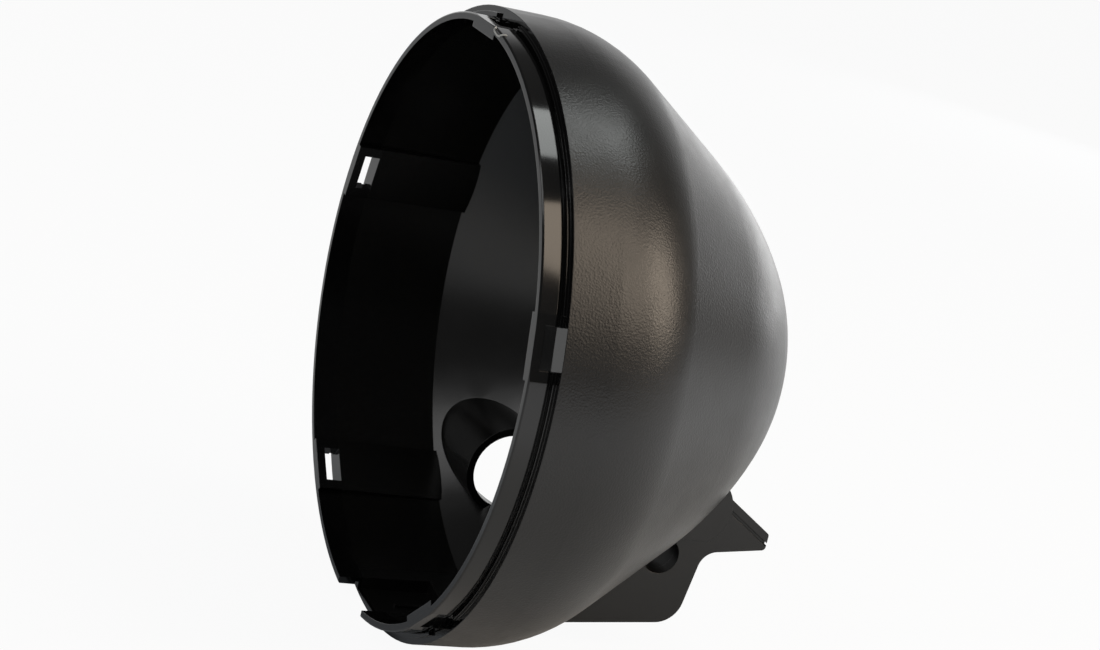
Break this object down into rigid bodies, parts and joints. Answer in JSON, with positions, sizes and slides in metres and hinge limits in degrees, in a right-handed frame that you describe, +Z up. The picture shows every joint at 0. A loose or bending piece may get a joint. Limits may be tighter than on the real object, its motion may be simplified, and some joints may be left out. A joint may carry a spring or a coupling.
{
  "type": "headlight housing",
  "caption": "Deep round plastic lamp bowl with a clip-windowed collar at its mouth, a cable tube through one side and a bolt bracket under its back.",
  "frame": {"origin": "centre of the collar's front edge, on the lamp's axis", "axes": "the mouth faces -Y and the bowl closes towards +Y, +Z is up, +X is the rider's left"},
  "size_m": [0.1904, 0.1282, 0.1904],
  "materials": {
    "black_plastic": "satin moulded grain outside, glossy collar"
  },
  "bodies": {
    "root": {"headlight_housing": "black_plastic"}
  },
  "joints": []
}
